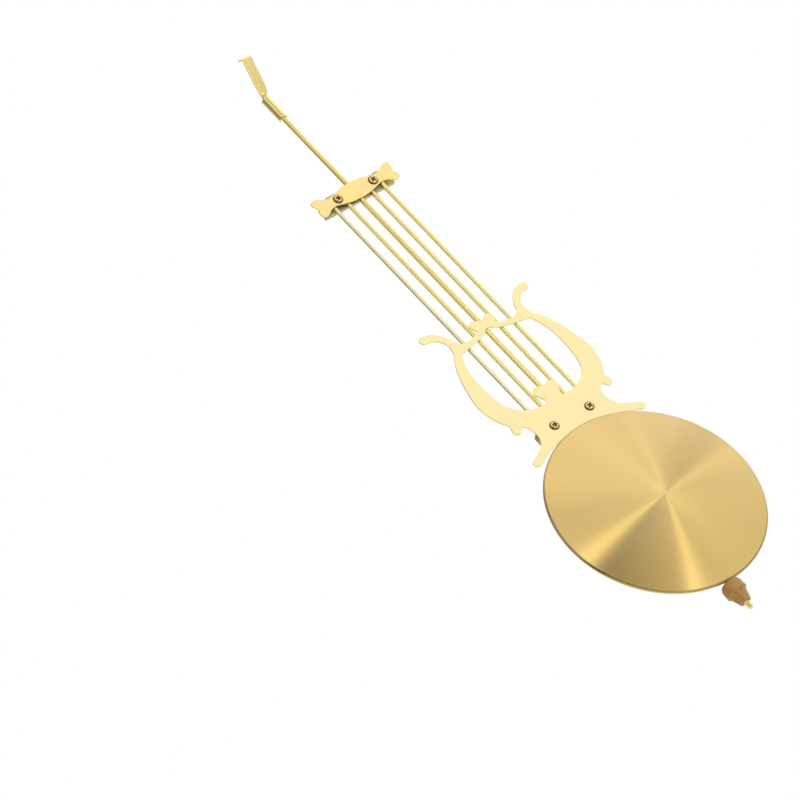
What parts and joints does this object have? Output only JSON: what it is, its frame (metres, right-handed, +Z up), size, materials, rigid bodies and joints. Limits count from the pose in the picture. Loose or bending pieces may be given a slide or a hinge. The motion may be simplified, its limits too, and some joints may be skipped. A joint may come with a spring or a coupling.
{
  "type": "clock pendulum",
  "caption": "Lyre pendulum for a clock: a sheet metal hook, a gridiron of rods clamped to an ornamental lyre plate, and a domed brass bob that rests on a rating nut.",
  "frame": {"origin": "inner corner of the hook, where it sits on the arm of the clock", "axes": "hanging as in use: +Z up, the front of the bob and lyre faces -Y, +X to the right seen from the front"},
  "size_m": [0.08, 0.013, 0.2794],
  "materials": {
    "brass": "drawn and lacquered",
    "plate_brass": "pale, satin, stamped",
    "bob_brass": "spun, brushed in circles, lacquered",
    "plated_steel": "yellow plated, satin",
    "screw_bronze": "dark bronze",
    "nut_plastic": "moulded, semi gloss"
  },
  "bodies": {
    "frame": {"hanger_hook": "brass", "centre_rod": "brass", "outer_left_rod": "brass", "inner_left_rod": "brass", "inner_right_rod": "brass", "outer_right_rod": "brass", "top_plate": "plate_brass", "top_rear_bar": "plated_steel", "top_screw_left": "screw_bronze", "top_screw_right": "screw_bronze", "lyre_plate": "plate_brass", "lyre_rear_bar": "plated_steel", "lyre_screw_left": "screw_bronze", "lyre_screw_right": "screw_bronze"},
    "bob": {"bob_front_shell": "bob_brass", "bob_back_disc": "plated_steel", "guide_lug_upper": "plated_steel", "guide_lug_lower": "plated_steel", "lug_rivet_upper_left": "brass", "lug_rivet_upper_right": "brass", "lug_rivet_lower_left": "brass", "lug_rivet_lower_right": "brass"},
    "nut": {"rating_nut": "nut_plastic"}
  },
  "joints": [
    {"name": "bob_slide", "type": "slide", "parent": "frame", "child": "bob", "axis": [0, 0, 1], "range_m": [-0.0048, 0.0032]},
    {"name": "rating_nut_turn", "type": "hinge", "parent": "bob", "child": "nut", "pos_m": [0, 0.00852, -0.27], "axis": [0, 0, 1], "range_deg": [-4320, 2880]}
  ],
  "couplings": [
    {"joint": "rating_nut_turn", "follows": "bob_slide", "rad_per_m": 15708}
  ]
}
